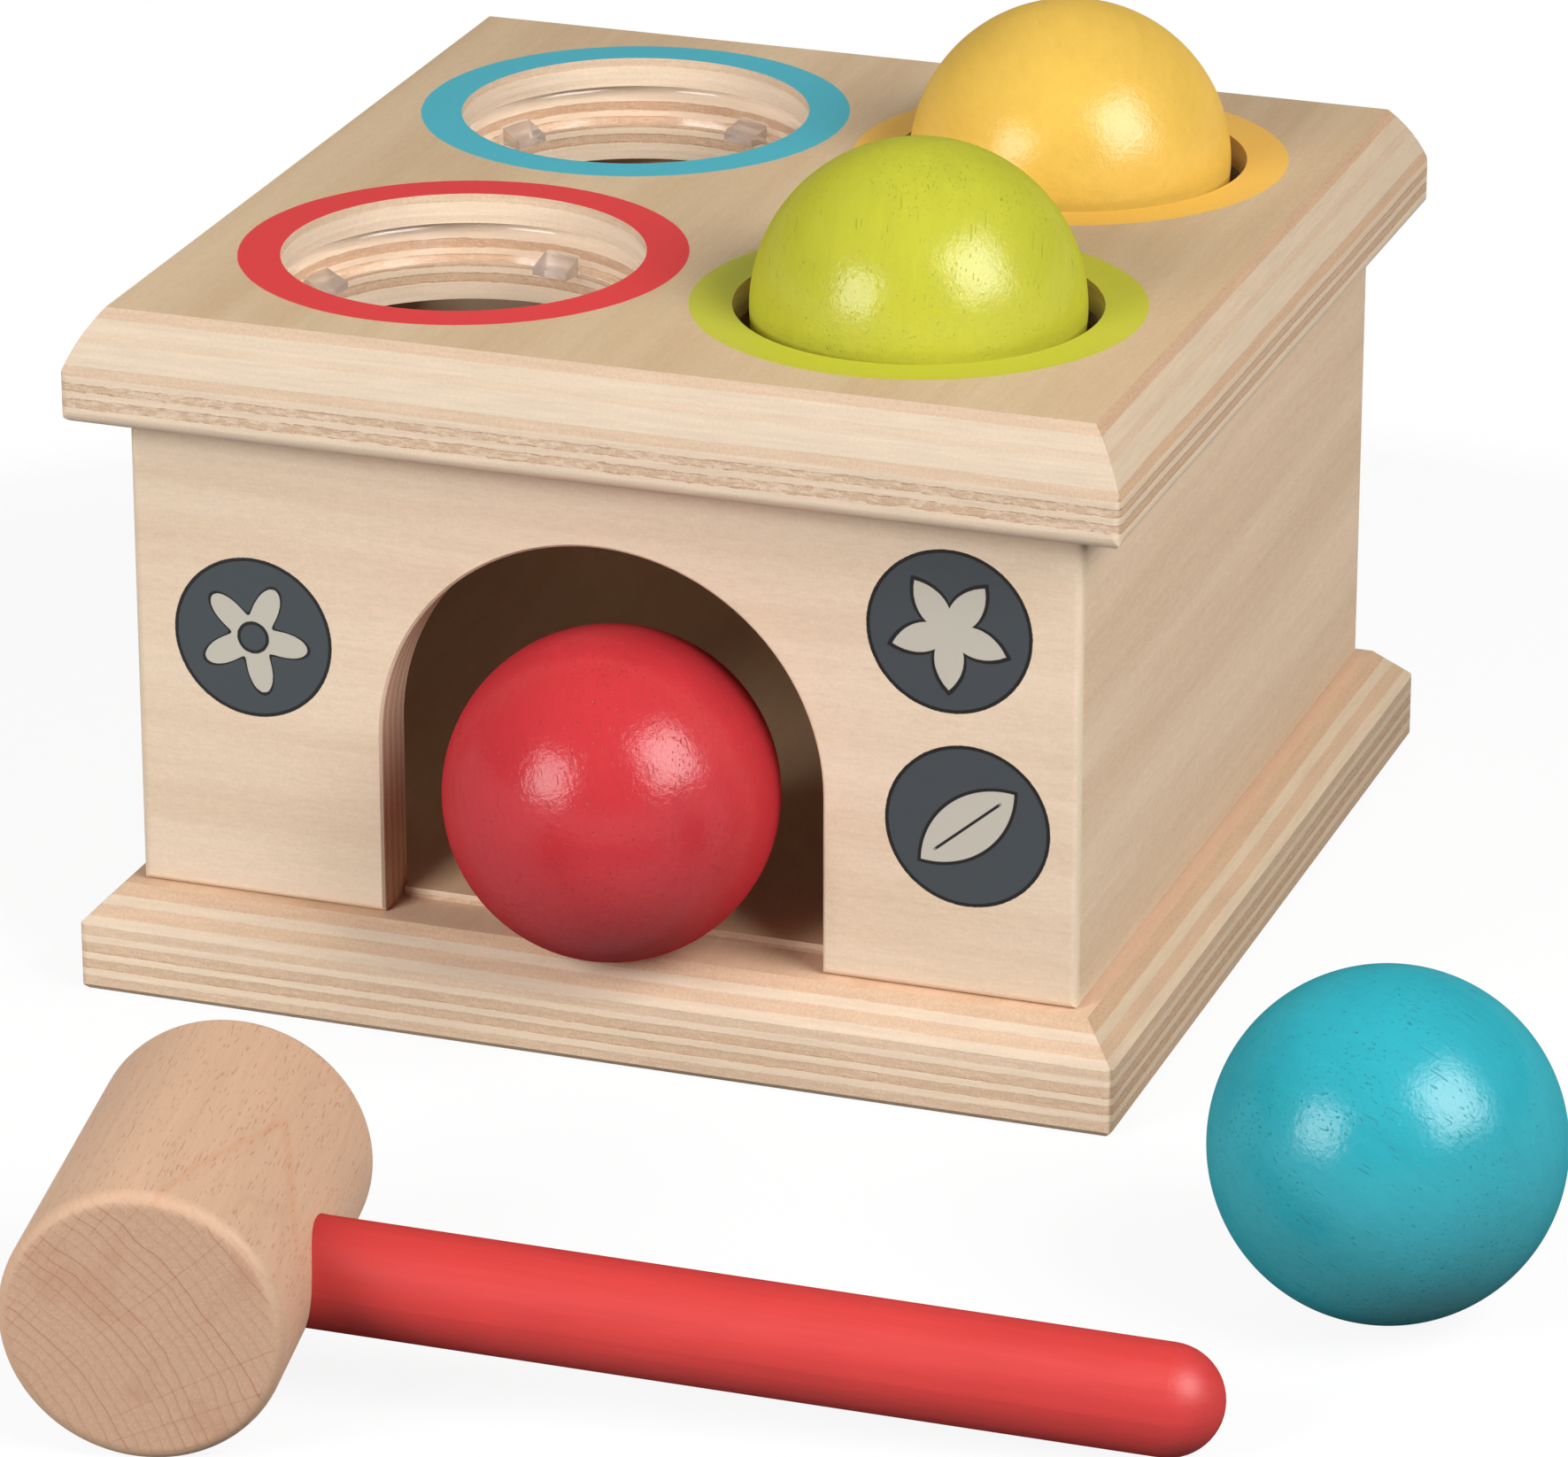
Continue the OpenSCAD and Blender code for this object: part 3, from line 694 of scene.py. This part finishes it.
def round_cube(centre, radius, count):
    """Points and faces of a ball.

    Each side of a cube is a grid of two angles from -45 to 45 degrees. Their tangents with 1 make a
    direction, which is brought to the ball's radius. Points that sides share are merged.
    """
    slope = np.tan(np.linspace(-math.pi / 4, math.pi / 4, count + 1))
    p, q = np.meshgrid(slope, slope, indexing="ij")
    one = np.ones_like(p)
    sides = [(one, p, q), (-one, q, p), (q, one, p), (p, -one, q), (p, q, one), (q, p, -one)]
    grid = np.stack([np.stack(side, axis=-1) for side in sides]).reshape(-1, 3)
    grid /= np.linalg.norm(grid, axis=1, keepdims=True)
    corner = np.arange(6)[:, None, None] * (count + 1) ** 2
    corner = corner + np.arange(count)[:, None] * (count + 1) + np.arange(count)
    quads = np.stack([corner, corner + count + 1, corner + count + 2, corner + 1], axis=-1).reshape(-1, 4)
    _, first, merged = np.unique(np.round(grid, 9), axis=0, return_index=True, return_inverse=True)
    points = np.array(centre) + radius * grid[first]
    return points, merged.reshape(-1)[quads]


def add_piece(name, points, faces, material, body, replaced):
    """Puts a surface into a smooth mesh that rides on a body and stands for a node."""
    mesh = bpy.data.meshes.new(name)
    mesh.from_pydata(points.tolist(), [], faces.tolist())
    mesh.shade_smooth()
    mesh.materials.append(material)
    piece = bpy.data.objects.new(name, mesh)
    bpy.context.scene.collection.objects.link(piece)
    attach(piece, body)
    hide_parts(replaced)


class DressBoards(bpy.types.Operator):
    """Plywood of the base board and the top board, with painted rings round the holes"""

    bl_idname = "pounding_box.dress_boards"
    bl_label = "Boards"

    def execute(self, context):
        wood, paint = context.scene.pounding_wood, context.scene.pounding_paint
        finish, colour, height, _ = board_finish(
            "base_plywood", wood, "base_board", wood.base_veneer, BASE_PLIES, BASE_LOOKS
        )
        plywood = finish.shader(colour, DULL_ROUGH, height, Specular_IOR_Level=WOOD_SHINE)
        dress("base_board", finish.ended(plywood))
        dress("top_board", painted_top_finish(wood, paint))
        return {"FINISHED"}


class DressPanels(bpy.types.Operator):
    """Plywood of the four upright panels, with printed discs on the front"""

    bl_idname = "pounding_box.dress_panels"
    bl_label = "Panels"

    def execute(self, context):
        wood, paint = context.scene.pounding_wood, context.scene.pounding_paint
        front = "x", "y", wood.panel_veneer, FRONT_CONTRAST
        side = "y", "x", wood.side_veneer, SIDE_CONTRAST
        dress("front_panel", panel_finish("printed_front_plywood", wood, "front_panel", *front, paint))
        dress("back_panel", panel_finish("back_plywood", wood, "back_panel", *front))
        dress("left_panel", panel_finish("left_plywood", wood, "left_panel", *side))
        dress("right_panel", panel_finish("right_plywood", wood, "right_panel", *side))
        return {"FINISHED"}


class DressInside(bpy.types.Operator):
    """Wood of the ramp, its cleat and the hidden dowels"""

    bl_idname = "pounding_box.dress_inside"
    bl_label = "Ramp and dowels"

    def execute(self, context):
        wood = context.scene.pounding_wood
        ramp = ramp_finish(wood)
        dress("ramp_board", ramp)
        dress("ramp_cleat", ramp)
        dowels = dowel_finish(wood)
        dress("base_dowels", dowels)
        dress("top_dowels", dowels)
        return {"FINISHED"}


class DressRings(bpy.types.Operator):
    """Clear plastic of the four retaining rings"""

    bl_idname = "pounding_box.dress_rings"
    bl_label = "Retaining rings"

    def execute(self, context):
        plastic, inner = context.scene.pounding_plastic, hole_radius() / MM
        for hole in HOLES:
            node = "ring_" + hole
            dress(node, clear_plastic_finish("clear_plastic_" + hole, plastic, middle(node), inner))
        return {"FINISHED"}


class AddBalls(bpy.types.Operator):
    """Four turned wooden balls with glossy paint"""

    bl_idname = "pounding_box.add_balls"
    bl_label = "Balls"

    turns = {"red": (0.5, 0.3, 0.0), "blue": (0.2, 1.1, 0.4), "green": (0.9, 0.2, 0.7), "yellow": (1.3, 0.5, 0.2)}
    worn = {"red": 0.9, "blue": 1.0, "green": 0.8, "yellow": 0.2}

    def execute(self, context):
        paint = context.scene.pounding_paint
        for shade in BALLS:
            node = shade + "_ball"
            low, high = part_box(node)
            radius = min(high - low) / 2
            centre = middle(node)
            turn, worn = self.turns[shade], self.worn[shade]
            finish = painted_ball_finish("glossy_" + shade, getattr(paint, shade), centre, turn, worn)
            points, faces = round_cube(centre, radius, BALL_GRID)
            add_piece("painted_" + node, points, faces, finish, "ball_" + shade, node)
        return {"FINISHED"}


class DressHammer(bpy.types.Operator):
    """Beech of the hammer's head and paint of its handle"""

    bl_idname = "pounding_box.dress_hammer"
    bl_label = "Hammer"

    def execute(self, context):
        dress("hammer_head", beech_finish(context.scene.pounding_wood))
        dress("hammer_handle", handle_finish(context.scene.pounding_paint))
        return {"FINISHED"}


def area_lamp(name, direction, distance, size, power, aim, lights, gleams):
    """A square lamp that lies in a direction from a point and shines on it.

    lights says whether it lights dull surfaces, and gleams whether a gloss mirrors it.
    """
    lamp = bpy.data.lights.new(name, "AREA")
    lamp.shape = "SQUARE"
    lamp.size = size
    lamp.energy = power
    made = bpy.data.objects.new(name, lamp)
    bpy.context.scene.collection.objects.link(made)
    toward = Vector(direction).normalized()
    made.location = aim + toward * distance
    made.rotation_euler = toward.to_track_quat("Z", "Y").to_euler()
    made.visible_camera = False
    made.visible_diffuse = lights
    made.visible_glossy = gleams


class SetStage(bpy.types.Operator):
    """Pale floor, soft lamps, white surroundings and the camera"""

    bl_idname = "pounding_box.set_stage"
    bl_label = "Stage"

    right, left, behind = (0.734, -0.263, 0.626), (-0.420, -0.805, 0.419), (-0.15, 0.97, 0.20)
    # Name, direction, size in metres, power in watts, whether it lights dull surfaces, whether a gloss mirrors it
    lamps = (
        ("lamp_right", right, 0.58, 11.6, True, True),
        ("halo_right", right, 0.85, 9.6, False, True),
        ("lamp_left", left, 0.52, 7.4, True, True),
        ("fill_left", left, 0.52, 2.7, True, False),
        ("fill_back", behind, 1.0, 3.2, True, False),
    )
    lamp_distance = 1.1
    floor_radii = (0.02, 0.5, 1.5, 8.0)
    wall_height = 1.3
    floor_sides = 64
    # Millimetres from the middle over which the floor turns from lit to glowing
    shadow_fades = (160.0, 300.0)
    floor_glow = 0.90
    floor_bounce = (0.12, 0.12, 0.12, 1.0)
    sensor_width = 36
    clip = 0.05, 50

    def execute(self, context):
        stage = context.scene.pounding_stage
        context.scene.view_settings.view_transform = "Standard"
        self.add_floor(stage)
        self.add_world(context.scene, stage)
        aim = Vector(stage.target)
        for name, direction, size, power, lights, gleams in self.lamps:
            area_lamp(name, direction, self.lamp_distance, size, power, aim, lights, gleams)
        self.add_camera(context.scene, stage)
        return {"FINISHED"}

    def add_floor(self, stage):
        """A round pale floor with a low wall at its rim, where it is white to the camera.

        Near the object a share of the floor is lit, so that it keeps the object's shadow. The surface is
        a profile of radius and height, turned once round.
        """
        flat = [(radius, 0.0) for radius in self.floor_radii]
        profile = np.array([*flat, (self.floor_radii[-1], self.wall_height)])
        turn = np.linspace(0, 2 * math.pi, self.floor_sides, endpoint=False)
        radius, height = profile[:, :1], profile[:, 1:]
        rings = np.stack([radius * np.cos(turn), radius * np.sin(turn), height + 0 * turn], axis=-1)
        points = np.vstack([rings.reshape(-1, 3), [[0.0, 0.0, 0.0]]])
        here = np.arange(len(profile) - 1)[:, None] * len(turn) + np.arange(len(turn))
        beside = np.arange(len(profile) - 1)[:, None] * len(turn) + np.roll(np.arange(len(turn)), -1)
        quads = np.stack([here, here + len(turn), beside + len(turn), beside], axis=-1).reshape(-1, 4)
        middle_fan = np.stack([here[0], beside[0], np.full(len(turn), len(points) - 1)], axis=-1)
        mesh = bpy.data.meshes.new("floor")
        mesh.from_pydata(points.tolist(), [], quads.tolist() + middle_fan.tolist())
        mesh.materials.append(self.floor_finish(stage))
        floor = bpy.data.objects.new("floor", mesh)
        bpy.context.scene.collection.objects.link(floor)

    def floor_finish(self, stage):
        """White to the camera, lit white to a gloss and to clear plastic, and plain grey to other light."""
        finish = Finish("pale_floor")
        path = finish.node("ShaderNodeLightPath").socket.node.outputs
        camera, gloss, clear = (
            Value(finish, path[ray]) for ray in ("Is Camera Ray", "Is Glossy Ray", "Is Transmission Ray")
        )
        x, y, _ = finish.parts(finish.place(stage.target))
        far = finish.step(finish.math("SQRT", x * x + y * y), *self.shadow_fades)
        white = (*stage.floor, 1.0)
        lit = finish.node("ShaderNodeBsdfDiffuse", sockets={"Color": white})
        glow = finish.node("ShaderNodeEmission", sockets={"Color": (1, 1, 1, 1), "Strength": 1.0})
        dull = finish.node("ShaderNodeBsdfDiffuse", sockets={"Color": self.floor_bounce})
        pale = finish.blend(finish.math("MAXIMUM", camera * self.floor_glow, far), lit, glow)
        seen = finish.math("MAXIMUM", camera, finish.math("MAXIMUM", gloss, clear))
        return finish.ended(finish.blend(seen, dull, pale))

    def add_world(self, scene, stage):
        """Even light all round."""
        world = bpy.data.worlds.new("studio")
        scene.world = world
        world.use_nodes = True
        background = world.node_tree.nodes["Background"]
        background.inputs["Color"].default_value = (1, 1, 1, 1)
        background.inputs["Strength"].default_value = stage.ambient

    def add_camera(self, scene, stage):
        """Camera on a sphere round the target; its image is as wide as the sensor."""
        lens = bpy.data.cameras.new("camera")
        lens.sensor_fit = "HORIZONTAL"
        lens.sensor_width = self.sensor_width
        lens.lens = stage.lens
        lens.clip_start, lens.clip_end = self.clip
        camera = bpy.data.objects.new("camera", lens)
        scene.collection.objects.link(camera)
        turn = Matrix.Rotation(stage.azimuth, 4, "Z")
        tilt = Matrix.Rotation(math.pi / 2 - stage.elevation, 4, "X")
        roll = Matrix.Rotation(stage.roll, 4, "Z")
        back = Matrix.Translation((0, 0, stage.distance))
        camera.matrix_world = Matrix.Translation(stage.target) @ turn @ tilt @ roll @ back
        scene.camera = camera


class PoundingBoxPanel(bpy.types.Panel):
    """Lists the steps that dress the pounding box"""

    bl_idname = "VIEW3D_PT_pounding_box"
    bl_label = "Pounding Box"
    bl_space_type = "VIEW_3D"
    bl_region_type = "UI"
    bl_category = "Pounding Box"

    def draw(self, context):
        for step in STEPS:
            self.layout.operator(step.bl_idname)


SETTINGS = {
    "pounding_wood": WoodSettings,
    "pounding_paint": PaintSettings,
    "pounding_plastic": PlasticSettings,
    "pounding_stage": StageSettings,
}
STEPS = (DressBoards, DressPanels, DressInside, DressRings, AddBalls, DressHammer, SetStage)


def register():
    for kind in (*SETTINGS.values(), *STEPS, PoundingBoxPanel):
        bpy.utils.register_class(kind)
    for name, kind in SETTINGS.items():
        setattr(bpy.types.Scene, name, bpy.props.PointerProperty(type=kind))


def unregister():
    for name in SETTINGS:
        delattr(bpy.types.Scene, name)
    for kind in reversed((*SETTINGS.values(), *STEPS, PoundingBoxPanel)):
        bpy.utils.unregister_class(kind)


def main():
    register()
    bpy.ops.pounding_box.dress_boards()
    bpy.ops.pounding_box.dress_panels()
    bpy.ops.pounding_box.dress_inside()
    bpy.ops.pounding_box.dress_rings()
    bpy.ops.pounding_box.add_balls()
    bpy.ops.pounding_box.dress_hammer()
    bpy.ops.pounding_box.set_stage()


if __name__ == "__main__":
    main()
